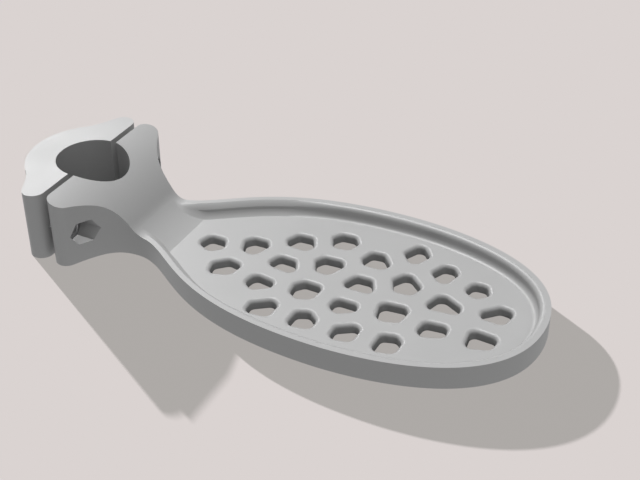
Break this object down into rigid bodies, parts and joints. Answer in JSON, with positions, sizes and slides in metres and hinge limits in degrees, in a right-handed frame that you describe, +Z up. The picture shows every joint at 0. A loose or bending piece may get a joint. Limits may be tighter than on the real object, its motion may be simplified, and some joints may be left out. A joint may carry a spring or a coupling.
{
  "type": "soap dish",
  "caption": "Oval soap tray with polygonal drain holes and a raised rim on a short neck, held to a round pole by a split clamp with a loose cap, socket screws and captive nuts.",
  "frame": {"origin": "on the pole's axis, level with the flat underside", "axes": "+X from the clamp to the tray's tip, +Z up along the pole, front at -Y"},
  "size_m": [0.1865, 0.0774, 0.0248],
  "materials": {
    "dish_plastic": "light grey satin plastic",
    "cap_plastic": "light grey satin plastic",
    "screw_steel": "plain stainless steel",
    "nut_steel": "plain stainless steel"
  },
  "bodies": {
    "dish_body": {"dish": "dish_plastic", "nut_front": "nut_steel", "nut_back": "nut_steel"},
    "cap_body": {"clamp_cap": "cap_plastic"},
    "screw_front_body": {"screw_front": "screw_steel"},
    "screw_back_body": {"screw_back": "screw_steel"}
  },
  "joints": [
    {"name": "cap_slide", "type": "slide", "parent": "dish_body", "child": "cap_body", "axis": [1, 0, 0], "range_m": [-0.0022, 0.002]},
    {"name": "screw_front_turn", "type": "hinge", "parent": "cap_body", "child": "screw_front_body", "pos_m": [-0.00545, -0.0227, 0.011], "axis": [1, 0, 0], "range_deg": [-990.5, 900.5]},
    {"name": "screw_back_turn", "type": "hinge", "parent": "cap_body", "child": "screw_back_body", "pos_m": [-0.00545, 0.0227, 0.011], "axis": [1, 0, 0], "range_deg": [-990.5, 900.5]}
  ],
  "couplings": [
    {"joint": "screw_front_turn", "follows": "cap_slide", "rad_per_m": 7854},
    {"joint": "screw_back_turn", "follows": "cap_slide", "rad_per_m": 7854}
  ]
}
